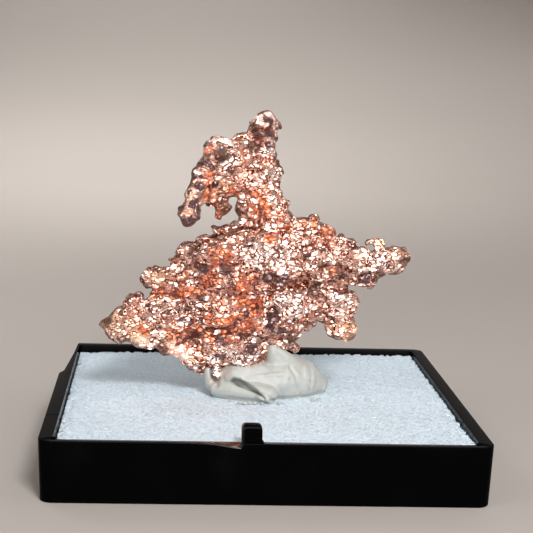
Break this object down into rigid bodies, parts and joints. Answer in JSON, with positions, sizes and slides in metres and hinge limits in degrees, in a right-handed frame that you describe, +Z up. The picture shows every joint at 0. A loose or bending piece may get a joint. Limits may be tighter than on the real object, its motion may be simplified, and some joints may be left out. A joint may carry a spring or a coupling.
{
  "type": "native copper nugget in an open specimen box",
  "caption": "Branching crystalline native copper nugget with a hooked arm and horns, held by putty on the foam insert of a small black specimen box base.",
  "frame": {"origin": "centre of the box base's underside, where it stands", "axes": "+Z up, +X along the front rim to the viewer's right, +Y from the front rim with the small catch towards the back"},
  "size_m": [0.032, 0.032, 0.0268],
  "materials": {
    "native_copper": "crumbly crystalline native copper, bright facets with orange crevices and brown tarnish",
    "mounting_putty": "matte off-white putty, pressed by thumb",
    "white_foam": "white fine-celled foam with a cut face",
    "black_styrene": "glossy black moulded styrene"
  },
  "bodies": {
    "root": {"nugget": "native_copper", "putty": "mounting_putty", "foam": "white_foam", "tray": "black_styrene"}
  },
  "joints": []
}
